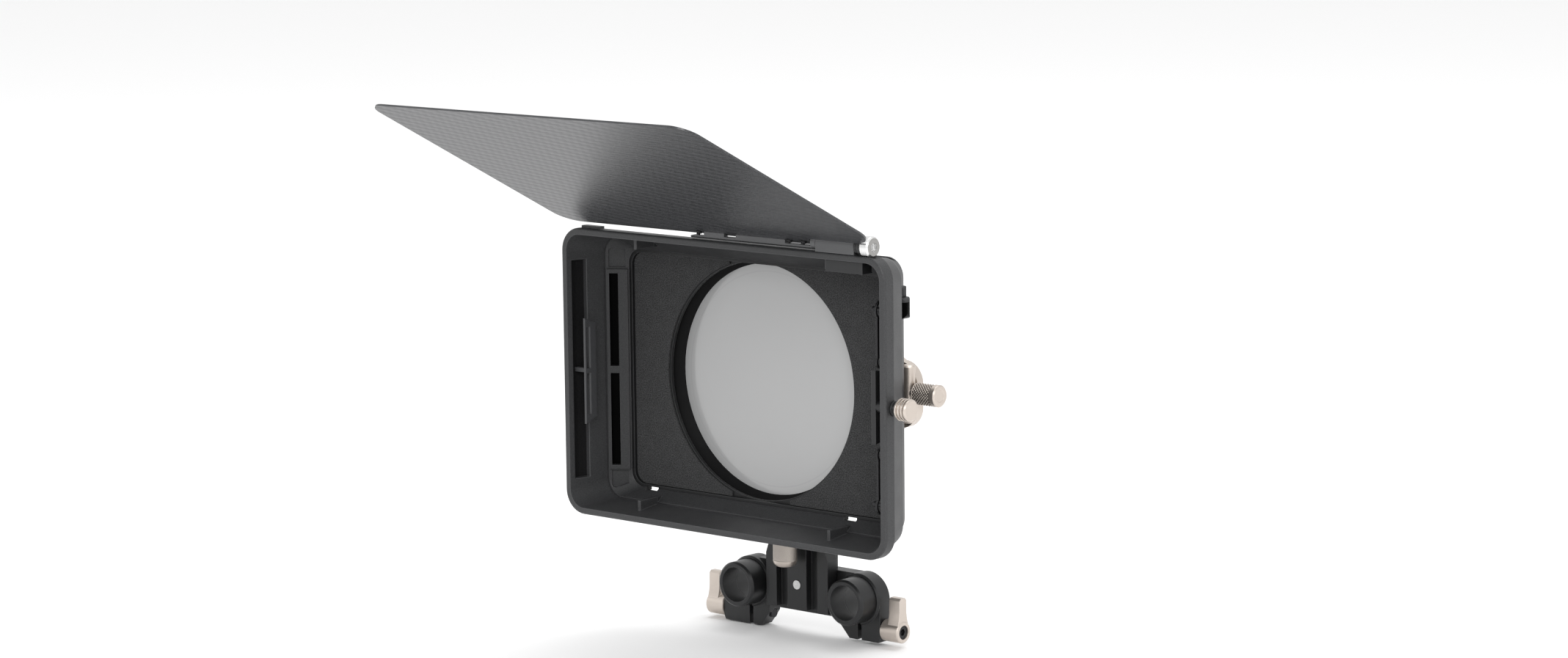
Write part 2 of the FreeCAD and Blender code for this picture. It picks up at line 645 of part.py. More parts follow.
def latch_spring():
    """The coil spring on the latch pin, between the boss and the bush: one unbroken wire."""
    wire, coil_radius, turns, steps = 0.4, 2.0, 5, 12
    start = size("latch_face") + size("latch_thick") + 2.4 + wire / 2 + 0.03
    length = 4.54 - wire
    spots = []
    for number in range(turns * steps + 1):
        angle = math.tau * number / steps
        spots.append(Vector(start + length * number / (turns * steps),
                            size("latch_y") + coil_radius * math.cos(angle),
                            size("latch_rise") + coil_radius * math.sin(angle)))
    half = wire / 2
    square = ((-half, -half), (half, -half), (half, half), (-half, half))
    corners = [Vector(dx, dy, 0) + spots[0] for dx, dy in square]
    section = Part.makePolygon(corners + corners[:1])
    spring = Part.Wire(Part.makePolygon(spots)).makePipeShell([section], True, False, 1)
    return feature("latch_spring", spring)


def hinge_clip():
    """The fixed half of the hinge, seated on the hood's top: a foot with a round knuckle."""
    y, z, radius = size("hinge_y"), size("hinge_height"), size("knuckle_radius")
    start, end = size("clip_start"), size("clip_end")
    seat = size("frame_height") / 2
    knuckle = Part.makeCylinder(radius, end - start, Vector(start, y, z), ALONG_X)
    foot = block((start, y - radius, seat), (end, y + radius, z))
    heel = block((start, y, seat), (end, y + 6.0, seat + 1.6))
    clip = knuckle.fuse([foot, heel])
    bore = Part.makeCylinder(size("pin_radius") + size("running"), 40.0, Vector(start - 5, y, z), ALONG_X)
    holes = [Part.makeCylinder(1.15, 6.0, Vector(x, -43.2, seat - 1)) for x in clip_screw_places()]
    return feature("hinge_clip", clip.cut([bore] + holes).removeSplitter())


def flag_panel():
    """The top flag: a thin sheet with large round corners, notched at the hinge clip."""
    back, front, length = size("flag_back") / 2, size("flag_front") / 2, size("flag_length")
    notch = size("clip_start") - 3.2
    corner = size("flag_corner")
    sheet_corners = [(-back, 0), (notch, 0), (notch, -6.2), (back - 1.6, -6.2), (front, -length),
                     (-front, -length)]
    spots = [Vector(x, y, 0) for x, y in sheet_corners]
    plate = Part.Face(Part.makePolygon(spots + spots[:1])).extrude(Vector(0, 0, size("flag_thick")))
    half_up = Vector(0, 0, size("flag_thick") / 2)
    for number, radius in ((0, corner), (3, size("flag_hinge_corner")), (4, corner), (5, corner)):
        plate = plate.makeFillet(radius, [
            edge for edge in plate.Edges
            if edge.Length < 2 * size("flag_thick")
            and edge.CenterOfMass.distanceToPoint(spots[number] + half_up) < 0.1])
    holes = [Part.makeCylinder(0.8, 4.0, Vector(x, -along, -1)) for x, along in FLAG_SCREWS]
    plate = plate.cut(holes)
    return feature("flag_panel", plate, Placement(Vector(0, size("flag_back_y"), size("flag_back_rise")),
                                                  Rotation(ALONG_X, -size("flag_tilt"))))


def under_flag(y, gap=0.0):
    """The height of the flag's lower face, less a gap, at a place along the axis."""
    rise = (size("flag_back_y") - y) * math.tan(math.radians(size("flag_tilt")))
    return size("flag_back_rise") + rise - gap


def hinge_bar():
    """The moving leaf of the hinge: a bar under the flag's back edge, two pads and a knuckle on the pin."""
    y, z, end = size("hinge_y"), size("hinge_height"), size("clip_start") - size("gap")
    low, top, front, back, bevel = 61.95, 63.15, y - 1.4, y + 1.6, 0.7
    bar = slab([(front, top), (front, low + bevel), (front + bevel, low), (back - bevel, low),
                (back, low + bevel), (back, top)], "X", size("bar_start"), end)
    bar = bar.makeFillet(1.1, [edge for edge in bar.Edges if edge.CenterOfMass.x < size("bar_start") + 0.01
                               and edge.CenterOfMass.z > top - 0.01])
    pads = []
    for start, stop in ((-8.5, 2.3), (8.8, 35.0)):
        pads.append(slab([(front, top - 0.2), (back, top - 0.2), (back, under_flag(size("flag_back_y"), 0.4)),
                          (size("flag_back_y"), under_flag(size("flag_back_y"))), (front, under_flag(front))],
                         "X", start, stop))
    pads.append(block((-8.5, front, top - 0.2), (end, back, under_flag(size("flag_back_y"), 0.35))))
    knuckle = Part.makeCylinder(size("knuckle_radius"), 2.4, Vector(end - 2.4, y, z), ALONG_X)
    bore = Part.makeCylinder(size("pin_radius"), 4.0, Vector(end - 3.0, y, z), ALONG_X)
    return feature("hinge_bar", bar.fuse(pads + [knuckle]).cut(bore).removeSplitter())


def flag_screws():
    """The three screws that hold the flag on its leaf, square to the sheet, with flat heads on top."""
    tilt = math.radians(size("flag_tilt"))
    square = Vector(0, math.sin(tilt), math.cos(tilt))
    screws = []
    for x, along in FLAG_SCREWS:
        spot = Vector(x, size("flag_back_y") - along * math.cos(tilt),
                      size("flag_back_rise") + along * math.sin(tilt))
        shank = Part.makeCylinder(0.8, 1.5 + size("flag_thick"), spot - square * 1.5, square)
        head = Part.makeCylinder(1.6, 0.6, spot + square * size("flag_thick"), square)
        foot = Part.makeCylinder(1.3, 0.7, spot - square * 0.7, square)
        screws.append(shank.fuse([head, foot]))
    return feature("flag_screws", Part.makeCompound(screws))


hood_frame()
bay_liner(-1, "bay_liner_left")
bay_liner(1, "bay_liner_right")
stage_housing()
guide_bar(-1, "guide_bar_left")
guide_bar(1, "guide_bar_right")
spring_strips()
tray_frame()
mask_plate()
flock_pad(-1, "flock_pad_left")
flock_pad(1, "flock_pad_right")
filter_ring()
rear_drum()
lock_bracket()
rod_bridge()
hinge_clip()
flag_panel()
hinge_bar()
flag_screws()
for side, word in ((-1, "left"), (1, "right")):
    clamp_lever(side, f"clamp_lever_{word}")
    clamp_screw(side, f"clamp_screw_{word}")

# Turned pieces about the optical axis
keep("filter_glass", turned("glass", [
    ("0", "glass_front_y"), ("glass_radius - 0.05", "glass_front_y"),
    ("glass_radius - 0.05", "glass_front_y + glass_depth"), ("0", "glass_front_y + glass_depth")]))
keep("glass_retainer", turned("retainer", [
    ("clear_radius", "glass_front_y + glass_depth"), ("glass_radius", "glass_front_y + glass_depth"),
    ("glass_radius", "drum_back_y - 0.45"), ("clear_radius + 0.5", "drum_back_y - 0.45")]))
lens_ring_body = turned("ring", [
    ("lens_bore", "0"), ("lens_bore", "drum_back_y + seal_depth"),
    ("seal_radius", "drum_back_y + seal_depth"), ("seal_radius", "drum_back_y"),
    ("drum_radius", "drum_back_y"), ("drum_radius", "-1"),
    ("drum_radius - 1", "0")])
keep("lens_ring", cut(lens_ring_body, rod("X", "screw_radius + running", "30", "40", "lock_y", "lock_rise")))
keep("light_seal", turned("seal", [
    ("seal_bore", "drum_back_y"), ("seal_radius", "drum_back_y"),
    ("seal_radius", "drum_back_y + seal_depth"), ("seal_bore", "drum_back_y + seal_depth")]))

# The lens lock: a knurled knob and its screw, with a soft tip that meets the lens
knob = turned("lock_knob_blank", [
    ("lock_knob_start", "0"), ("lock_knob_start", "knob_radius - 0.5"),
    ("lock_knob_start + 0.5", "knob_radius"),
    ("lock_knob_start + lock_knob_length - 1", "knob_radius"),
    ("lock_knob_start + lock_knob_length", "knob_radius - 1"), ("lock_knob_start + lock_knob_length", "0")],
    axis="H_Axis", role="XZ_Plane")
keep("lock_knob", place(knob, "0", "lock_y", "lock_rise"))
keep("lock_screw", rod("X", "screw_radius", "lock_knob_start - 50.2", "50.2", "lock_y", "lock_rise"))
keep("lock_tip", rod("X", "screw_radius - 0.15", "2.2", "48", "lock_y", "lock_rise"))

# The accessory latch: a pull knob with three rings, its pin, bush, spring and latch plate
knob_points = [("latch_knob_start", "0")]
for number in range(3):
    start = f"latch_knob_start + {1.55 * number}"
    knob_points += [(start, "knob_radius - 0.3"), (f"{start} + 0.3", "knob_radius"),
                    (f"{start} + 0.95", "knob_radius"), (f"{start} + 1.1", "knob_radius - 0.7"),
                    (f"{start} + 1.4", "knob_radius - 0.7")]
knob_points[-1] = ("latch_knob_start + 4.5", "knob_radius - 0.7")
knob_points += [("latch_knob_start + 4.6", "knob_radius - 0.1"),
                ("latch_knob_start + 5.2", "knob_radius - 0.1"),
                ("latch_knob_start + latch_knob_length", "knob_radius - 0.6"),
                ("latch_knob_start + latch_knob_length", "0")]
pull = turned("pull_knob_blank", knob_points, axis="H_Axis", role="XZ_Plane")
keep("pull_knob", place(pull, "0", "latch_y", "latch_rise"))
keep("latch_pin", rod("X", "pin_radius", "latch_knob_start - latch_face - latch_thick",
                      "latch_face + latch_thick", "latch_y", "latch_rise"))
bush = cut(rod("X", "3", "2.9", "85.9", "latch_y", "latch_rise"),
           rod("X", "pin_radius + running", "8", "84", "latch_y", "latch_rise"),
           rod("X", "2.5", "2.9", "84.7", "latch_y", "latch_rise"))
keep("latch_bush", bush)
latch_spring()
boss = cut(turned("boss_blank", [
    ("latch_face + latch_thick", "0"), ("latch_face + latch_thick", "2.4"),
    ("latch_face + latch_thick + 2", "2.4"), ("latch_face + latch_thick + 2.4", "2"),
    ("latch_face + latch_thick + 2.4", "0")], axis="H_Axis", role="XZ_Plane"),
    rod("X", "pin_radius", "6", "latch_face"))
keep("latch_boss", place(boss, "0", "latch_y", "latch_rise"))
plate = padded("latch_blank", "YZ_Plane", [
    ("-47.2", "-latch_height / 2"), ("-40.9", "-latch_height / 2 + 1.2"), ("-40.9", "latch_height / 2 - 1.2"),
    ("-47.2", "latch_height / 2")], "latch_thick")
keep("latch_plate", place(plate, "latch_face", "0", "0.5"))

# The fixed clip on the left wall, with its slot and the bar that carries it
clip = padded("clip_blank", "YZ_Plane", [
    ("-47.4", "-22.7"), ("-40.7", "-20"), ("-40.7", "20"), ("-47.4", "22.7")], "clip_thick")
clip_slots = [box("-clip_face - 3", "-46.5", low, "4", "2.2", "17.8") for low in ("-18.8", "1")]
carrier = box("-85.3", "-45.6", "-0.9", "85.3 - clip_face - clip_thick", "2.2", "1.8")
keep("clip_left", fuse(cut(place(clip, "-clip_face - clip_thick"), *clip_slots), carrier))

# Round-headed posts that hold the spring strips' outer eyes
keep("strip_posts", compound(*[
    fuse(rod("X", "0.9", "7.1", "77.9", "-43.6", z), rod("X", "1.2", "1.1", "76.9", "-43.6", z))
    for z in ("39.6", "-39.6")]))

# Hinge hardware
keep("hinge_pin", rod("X", "pin_radius", "nut_end - 1.6 - clip_start + 2.7", "clip_start - 2.7",
                      "hinge_y", "hinge_height"))
washers = []
for start in ("clip_end + 0.3", "clip_end + 1.3"):
    washers.append(cut(rod("X", "3.5", "0.8", start, "hinge_y", "hinge_height"),
                       rod("X", "pin_radius", "2", f"{start} - 0.5", "hinge_y", "hinge_height")))
keep("friction_washers", compound(*washers))
keep("hinge_collar", cut(rod("X", "3.7", "1.6", "clip_end + 2.2", "hinge_y", "hinge_height"),
                         rod("X", "pin_radius", "4", "clip_end + 1", "hinge_y", "hinge_height")))
nut = turned("nut_blank", [
    ("clip_end + 3.9", "0"), ("clip_end + 3.9", "nut_radius - 0.3"), ("clip_end + 4.2", "nut_radius"),
    ("nut_end - 0.8", "nut_radius"),
    ("nut_end", "nut_radius - 0.8"), ("nut_end", "0")], axis="H_Axis", role="XZ_Plane")
key = doc.addObject("Part::Prism", "key_socket")
key.Polygon = 6
key.Placement = Placement(Vector(), AXES["X"])
bind(key, Circumradius="2.1", Height="3")
place(key, "nut_end - 1.6", "hinge_y", "hinge_height")
nut_bored = cut(place(nut, "0", "hinge_y", "hinge_height"), key,
                rod("X", "pin_radius", "nut_end - 1.6 - clip_end", "clip_end", "hinge_y", "hinge_height"))
keep("hinge_nut", nut_bored)
jaw = padded("jaw_blank", "YZ_Plane", [
    ("-46.4", "53.4"), ("-40.4", "53.4"), ("-40.4", "57.4"), ("-46.4", "58.1")], "19")
keep("clip_jaw", place(jaw, "clip_start + 2.4"))
keep("clip_screws", compound(*[rod("Z", "1.1", "4.4", str(x), "-43.2", "58.6") for x in clip_screw_places()]))

# The shoe under the lens ring, the column, its foot and the screws
SHOE_SCREWS = ("-12.5", "12.5")
sinks = [rod("Z", "2.2", "1.5", x, "-5", "-shoe_bottom") for x in SHOE_SCREWS]
sinks += [rod("Z", "1.25", "9", x, "-5", "-shoe_bottom") for x in SHOE_SCREWS]
shoe = cut(box("-shoe_width / 2", "-13", "-shoe_bottom", "shoe_width", "13", "12"),
           rod("Y", "drum_radius + 0.02", "16", "0", "-14", "0"),
           rod("Z", "screw_radius + running", "4.6", "0", "thumb_y", "-shoe_bottom"), *sinks)
keep("bracket_shoe", shoe)
keep("shoe_screws", compound(*[
    fuse(rod("Z", "1.2", "5.6", x, "-5", "-shoe_bottom + 0.1"),
         rod("Z", "2.1", "1.4", x, "-5", "-shoe_bottom + 0.1"))
    for x in SHOE_SCREWS]))
column = padded("column_blank", "XZ_Plane", [
    ("-column_neck / 2", "-shoe_bottom - foot_thick"), ("-column_width / 2", "-78"),
    ("-column_width / 2", "-column_bottom"), ("column_width / 2", "-column_bottom"),
    ("column_width / 2", "-78"), ("column_neck / 2", "-shoe_bottom - foot_thick")],
    "column_depth", reverse=True)
grooves = [box(x, "column_front_y - 1", "-column_bottom - 1", "6.2", "4.6", "column_bottom - 67")
           for x in ("-11.4", "5.2")]
foot = box("-column_neck / 2", "-13.6", "-shoe_bottom - foot_thick", "column_neck",
           "column_front_y + column_depth + 13.6", "foot_thick")
keep("bracket_column", cut(
    fuse(cut(place(column, "0", "column_front_y"), *grooves), foot),
    rod("Z", "screw_radius + 0.1", "10", "0", "thumb_y", "-shoe_bottom - 8"),
    rod("Y", "screw_radius + running", "12", "0", "-2", "-bolt_drop")))
thumb = turned("thumb_blank", [
    ("0", "-thumb_bottom"), ("thumb_radius - 1.3", "-thumb_bottom"), ("thumb_radius", "-thumb_bottom + 1.3"),
    ("thumb_radius", "-shoe_bottom - foot_thick - 0.9"),
    ("thumb_radius - 0.6", "-shoe_bottom - foot_thick - 0.3"), ("0", "-shoe_bottom - foot_thick - 0.3")],
    axis="V_Axis", role="XZ_Plane")
keep("thumb_knob", place(thumb, "0", "thumb_y"))
keep("thumb_screw", rod("Z", "screw_radius", "8.3", "0", "thumb_y", "-shoe_bottom - foot_thick - 0.3"))
keep("height_bolt", rod("Y", "screw_radius", "13.1", "0", "column_front_y - 0.2", "-bolt_drop"))
keep("height_nut", cut(rod("Y", "4.6", "2.6", "0", "bridge_y + 4", "-bolt_drop"),
                       rod("Y", "screw_radius", "8", "0", "bridge_y", "-bolt_drop")))
keep("height_washer", cut(rod("Y", "4.2", "0.9", "0", "bridge_y + 3.05", "-bolt_drop"),
                          rod("Y", "screw_radius + running", "8", "0", "bridge_y", "-bolt_drop")))
for word, x in (("left", "-rod_place"), ("right", "rod_place")):
    bush = turned(f"bush_blank_{word}", [
        ("rod_radius", "bush_front_y"), ("bush_radius - 0.85", "bush_front_y"),
        ("bush_radius", "bush_front_y + 0.8"),
        ("bush_radius", "block_front_y"), ("rod_radius", "block_front_y")])
    keep(f"rod_bush_{word}", place(bush, x, "0", "-rod_drop"))

# Sets of small screws
ring_screws = []
for number in range(6):
    angle = math.radians(60 * number + 30)
    x, z = str(round(55.8 * math.cos(angle), 4)), str(round(55.8 * math.sin(angle), 4))
    slot = box(f"{x} - 1", "0.5", f"{z} - 0.2", "2", "1", "0.4")
    ring_screws.append(cut(rod("Y", "1.6", "1.1", x, "0", z), slot))
keep("ring_screws", compound(*ring_screws))
keep("stage_screws", compound(*[
    fuse(rod("Y", "1.5", "1", str(x), "stage_back_y", "-55.8"),
         rod("Y", "0.9", "6", str(x), "stage_back_y - 6", "-55.8"))
    for x in STAGE_SCREWS]))

doc.recompute()

os.makedirs("parts", exist_ok=True)
faults = [item.Name for item in doc.Objects if {"Invalid", "Error"} & set(item.State)]
faults += [node for node, thing in PARTS if thing.Shape.isNull() or not thing.Shape.isValid()]
if faults:
    raise SystemExit("failed: " + ", ".join(faults))
for node, thing in PARTS:
    thing.Shape.exportStep(f"parts/{node}.step")
print(len(PARTS), "sub-parts written")
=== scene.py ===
import math

import bmesh
import bpy
from mathutils import Matrix, Vector


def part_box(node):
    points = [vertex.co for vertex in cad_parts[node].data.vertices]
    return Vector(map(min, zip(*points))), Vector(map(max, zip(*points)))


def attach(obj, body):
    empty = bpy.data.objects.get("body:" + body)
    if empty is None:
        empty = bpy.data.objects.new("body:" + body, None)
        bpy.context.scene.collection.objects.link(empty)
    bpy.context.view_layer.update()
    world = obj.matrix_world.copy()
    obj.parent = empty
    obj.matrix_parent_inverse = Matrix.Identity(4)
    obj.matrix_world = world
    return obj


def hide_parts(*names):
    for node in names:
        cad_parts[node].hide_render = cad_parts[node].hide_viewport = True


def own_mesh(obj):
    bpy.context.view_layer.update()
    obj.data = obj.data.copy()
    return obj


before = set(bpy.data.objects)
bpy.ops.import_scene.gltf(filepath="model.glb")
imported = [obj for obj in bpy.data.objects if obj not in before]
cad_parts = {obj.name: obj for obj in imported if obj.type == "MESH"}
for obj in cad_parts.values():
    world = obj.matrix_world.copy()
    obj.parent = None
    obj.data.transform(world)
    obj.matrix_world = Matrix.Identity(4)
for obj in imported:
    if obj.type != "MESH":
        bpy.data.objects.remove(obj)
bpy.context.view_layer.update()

# The hood: one black moulding, a flange with a soft lip and four walls drawing in to the tray stage.
# It is injection moulded in filled plastic, so it has a fine grain and edges that catch the light.


class Value:
    """A number, colour or vector inside a material. Expressions on it add the nodes they need."""

    def __init__(self, finish, link):
        self.finish = finish
        self.link = link

    def math(self, operation, *others):
        return self.finish.node("ShaderNodeMath", {"operation": operation}, [self, *others])

    def clipped(self):
        """The same number, held between 0 and 1."""
        return self.finish.node("ShaderNodeClamp", values=[self, 0.0, 1.0])

    def __add__(self, other):
        return self.math("ADD", other)

    def __mul__(self, other):
        return self.math("MULTIPLY", other)

    def __sub__(self, other):
        return self.math("SUBTRACT", other)

    def __truediv__(self, other):
        return self.math("DIVIDE", other)

    def __rsub__(self, other):
        return self.math("MULTIPLY", -1.0).math("ADD", other)

    __radd__ = __add__
    __rmul__ = __mul__


class Finish:
    """One material: a Principled shader and the nodes that feed it."""

    def __init__(self, name, colour, roughness, metallic=0.0, **fixed):
        self.material = bpy.data.materials.new(name)
        self.material.use_nodes = True
        self.tree = self.material.node_tree
        self.shader = self.tree.nodes["Principled BSDF"]
        self.set("Base Color", colour)
        self.set("Roughness", roughness)
        self.set("Metallic", metallic)
        for socket, value in fixed.items():
            self.set(socket.replace("_", " "), value)

    def plug(self, socket, value):
        if isinstance(value, Value):
            self.tree.links.new(value.link, socket)
        elif isinstance(value, (tuple, list)) and len(value) == 3 and len(socket.default_value) == 4:
            socket.default_value = (*value, 1.0)
        else:
            socket.default_value = value

    def set(self, socket, value):
        """Give one of the shader's sockets a fixed value or a link."""
        self.plug(self.shader.inputs[socket], value)

    def node(self, kind, settings=None, values=(), out=0):
        """Add a node: its settings first, then what goes into its sockets, by number or by name."""
        made = self.tree.nodes.new(kind)
        for name, setting in (settings or {}).items():
            if name == "stops":
                ramp = made.color_ramp
                for number, (place, shade) in enumerate(setting):
                    stop = ramp.elements[number] if number < len(ramp.elements) else ramp.elements.new(place)
                    stop.position = place
                    stop.color = (shade, shade, shade, 1.0)
            else:
                setattr(made, name, setting)
        named = values.items() if isinstance(values, dict) else enumerate(values)
        for socket, value in named:
            self.plug(made.inputs[socket], value)
        return Value(self, made.outputs[out])

    def place(self):
        """Where a point of the surface is in the part's own frame, in metres."""
        return self.node("ShaderNodeTexCoord", out="Object")

    def along(self, vector, axis):
        """One coordinate of a place: X, Y or Z."""
        return self.node("ShaderNodeSeparateXYZ", values=[vector], out=axis)

    def reach(self, centre, across=(1.0, 1.0, 1.0)):
        """How far a point is from a centre, counted only across the axes that are 1."""
        away = self.node("ShaderNodeVectorMath", {"operation": "SUBTRACT"}, [self.place(), centre])
        flat = self.node("ShaderNodeVectorMath", {"operation": "MULTIPLY"}, [away, across])
        return self.node("ShaderNodeVectorMath", {"operation": "LENGTH"}, [flat], out="Value")

    def noise(self, grain, detail=2.0, stretch=(1.0, 1.0, 1.0)):
        """Cloudy variation from 0 to 1 with lumps about one grain long, in metres."""
        where = self.node("ShaderNodeVectorMath", {"operation": "MULTIPLY"}, [self.place(), stretch])
        values = {"Vector": where, "Scale": 1.0 / grain, "Detail": detail}
        return self.node("ShaderNodeTexNoise", values=values)

    def mix(self, factor, first, second):
        """A colour between two colours."""
        return self.node("ShaderNodeMix", {"data_type": "RGBA"}, {0: factor, 6: first, 7: second}, out=2)

    def ramp(self, value, *stops):
        return self.node("ShaderNodeValToRGB", {"stops": stops}, [value])

    def within(self, value, low, high):
        """1 where a number lies between two limits, and 0 elsewhere."""
        return value.math("GREATER_THAN", low) * value.math("LESS_THAN", high)

    def rolled(self, radius):
        """A soft edge: the light rolls over each sharp corner as over a small radius."""
        return self.node("ShaderNodeBevel", {"samples": 6}, {"Radius": radius})

    def wear_and_highlight(self, radius, gain=3.0):
        """How much a point lies on a corner, from 0 on a flat to 1 on the corner, where wear and a painted
        highlight lighten it.
        """
        flat = self.node("ShaderNodeNewGeometry", out="Normal")
        facing = self.node("ShaderNodeVectorMath", {"operation": "DOT_PRODUCT"}, [self.rolled(radius), flat],
                           out="Value")
        return ((1.0 - facing) * gain).clipped()

    def relief(self, height, depth, strength=1.0, edge=None):
        """Bump: a height from 0 to 1 that stands so many metres high, over a soft edge if one is given."""
        values = {"Height": height, "Distance": depth, "Strength": strength}
        if edge:
            values["Normal"] = self.rolled(edge)
        return self.node("ShaderNodeBump", values=values)


def dress(finish, *names):
    """Give CAD nodes a finish. Their shapes are already right."""
    for name in names:
        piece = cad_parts[name]
        piece.data.materials.clear()
        piece.data.materials.append(finish.material)
        for face in piece.data.polygons:
            face.material_index = 0


def moulded(name, dark, light, wear_and_highlight, grain, roughness, edge, gloss=0.38):
    """Moulded plastic: a fine grain, a slow cloud of tone, and corners painted a little lighter, as wear and
    painted highlight.
    """
    finish = Finish(name, dark, roughness, Specular_IOR_Level=gloss)
    body = finish.mix(finish.noise(0.035, 3.0), dark, light)
    speck = finish.ramp(finish.noise(grain, 3.0), (0.35, 0.0), (0.75, 1.0))
    body = finish.mix(speck * 0.3, body, wear_and_highlight)
    finish.colour = finish.mix(finish.wear_and_highlight(edge), body, wear_and_highlight)
    finish.set("Base Color", finish.colour)
    finish.set("Roughness", finish.noise(0.012) * 0.14 + (roughness - 0.07))
    finish.set("Normal", finish.relief(finish.noise(grain), 0.00003, 0.6, edge))
    return finish


# The third colour paints the hood's corners lighter, as wear and painted highlight.
HOOD_DARK, HOOD_LIGHT, HOOD_WEAR_AND_HIGHLIGHT = (0.0225, 0.0228, 0.0238), (0.034, 0.0345, 0.036), (0.105, 0.106, 0.109)
hood_plastic = moulded("hood plastic", HOOD_DARK, HOOD_LIGHT, HOOD_WEAR_AND_HIGHLIGHT, 0.0004, 0.47, 0.0006, 0.33)
dress(hood_plastic, "hood_frame")

# The two side bays hold near-black strips, a painted shade for the recesses that the hood's lip shades.
# Their faint mottle and bump are a fine grain on the strips.
PAINTED_SHADE_BLACK = (0.0035, 0.0035, 0.0037)
painted_shade = Finish("bay painted shade", PAINTED_SHADE_BLACK, 0.95, Specular_IOR_Level=0.15)
painted_shade.set("Base Color", painted_shade.mix(painted_shade.noise(0.0006, 3.0), PAINTED_SHADE_BLACK, (0.010, 0.010, 0.0105)))
painted_shade.set("Normal", painted_shade.relief(painted_shade.noise(0.0004, 3.0), 0.0002, 0.7))
dress(painted_shade, "bay_liner_left", "bay_liner_right")

# The tray stage, its guide bars and the drum behind it: the same kind of moulding, a little smoother.
# The side bars are welded on the sloping bezel. Each has a long slot in two halves, painted black inside as
# painted shade.
STAGE_DARK, STAGE_LIGHT = (0.0150, 0.0153, 0.0160), (0.0225, 0.0229, 0.0240)
# The edge colour paints the stage's corners lighter, as wear and painted highlight.
STAGE_WEAR_AND_HIGHLIGHT = (0.100, 0.101, 0.104)
stage_plastic = moulded("stage plastic", STAGE_DARK, STAGE_LIGHT, STAGE_WEAR_AND_HIGHLIGHT, 0.0003, 0.44, 0.0004, 0.25)
dress(stage_plastic, "rear_drum")

SLOPE_TOP, SLOPE_END = (0.0792, -0.0318), (0.0709, -0.0260)
BAR_MIDDLE, BAR_REACH, BRIDGE_HALF = -0.0012, 0.0415, 0.0015
SLOT_START, SLOT_STOP, SLOT_MOUTH = 0.0014, 0.0054, 0.0009
SLOT_PAINTED_SHADE = (0.0020, 0.0020, 0.0020)
slotted = moulded("stage plastic with slots", STAGE_DARK, STAGE_LIGHT, STAGE_WEAR_AND_HIGHLIGHT, 0.0003, 0.44, 0.0004, 0.25)
spot = slotted.place()
slope = Vector(SLOPE_END) - Vector(SLOPE_TOP)
slope.normalize()
out_x = slotted.along(spot, "X").math("ABSOLUTE") - SLOPE_TOP[0]
out_y = slotted.along(spot, "Y") - SLOPE_TOP[1]
down_slope = out_x * slope.x + out_y * slope.y
off_slope = out_x * -slope.y + out_y * slope.x
height = (slotted.along(spot, "Z") - BAR_MIDDLE).math("ABSOLUTE")
# The slot floors are painted black and metallic, as painted shade inside the slots.
slot_shade_mask = (slotted.within(down_slope, SLOT_START, SLOT_STOP)
           * slotted.within(height, BRIDGE_HALF, BAR_REACH) * off_slope.math("LESS_THAN", SLOT_MOUTH))
slotted.set("Base Color", slotted.mix(slot_shade_mask, slotted.colour, SLOT_PAINTED_SHADE))
slotted.set("Metallic", slot_shade_mask)
dress(slotted, "stage_housing", "guide_bar_left", "guide_bar_right")

# The fixed clip on the left wall, which a shade's frame slides along.
# It is moulded in one piece, and its grey is painted lighter than the hood's, as painted light where light
# falls straight on its face.
clip_plastic_painted_light = moulded("clip plastic painted light", (0.038, 0.039, 0.041), (0.050, 0.051, 0.054), (0.085, 0.086, 0.089),
                       0.0003, 0.45, 0.0004)
dress(clip_plastic_painted_light, "clip_left")

# The tray that slides up and out, with its thin mask plate, and the rings that carry the round filter.
# They are aluminium, blasted with glass beads and anodised black; their corners are painted lighter, as wear
# and painted highlight.


def blasted(name, dark, light, wear_and_highlight, roughness, metallic, edge=0.0004, gloss=0.5):
    """Anodised metal, blasted before it is dyed, with its corners painted lighter as worn dye and painted
    highlight.
    """
    finish = Finish(name, dark, roughness, metallic, Specular_IOR_Level=gloss)
    body = finish.mix(finish.noise(0.02, 3.0), dark, light)
    finish.set("Base Color", finish.mix(finish.wear_and_highlight(edge), body, wear_and_highlight))
    finish.set("Roughness", finish.noise(0.006) * 0.14 + (roughness - 0.07))
    finish.set("Normal", finish.relief(finish.noise(0.00018), 0.00002, 0.5, edge))
    return finish


tray_metal = blasted("tray metal", (0.0090, 0.0092, 0.0096), (0.0160, 0.0163, 0.0170), (0.075, 0.076, 0.078),
                     0.42, 0.1, 0.0004, 0.25)
dress(tray_metal, "tray_frame", "mask_plate")

ring_metal = blasted("ring metal", (0.0030, 0.0030, 0.0032), (0.0050, 0.0050, 0.0053), (0.030, 0.031, 0.032),
                     0.55, 0.0, 0.0003, 0.1)
dress(ring_metal, "filter_ring")

# The flocked pads on the tray, either side of the round aperture: short nylon fibres on a backing.
# They are dusted on glue, so the pile is uneven and its tips show as a fine mottle.
FLOCK_DEEP, FLOCK_TIP = (0.010, 0.010, 0.0103), (0.075, 0.0755, 0.077)
flock = Finish("flock", FLOCK_DEEP, 0.95, Sheen_Weight=0.06, Sheen_Roughness=0.6, Specular_IOR_Level=0.1)
fibres = flock.noise(0.00045, 4.0)
tips = flock.ramp(fibres, (0.38, 0.0), (0.72, 1.0)) * 0.75 + flock.noise(0.004) * 0.25
flock.set("Base Color", flock.mix(tips, FLOCK_DEEP, FLOCK_TIP))
flock.set("Normal", flock.relief(fibres, 0.0003, 0.7))
dress(flock, "flock_pad_left", "flock_pad_right")

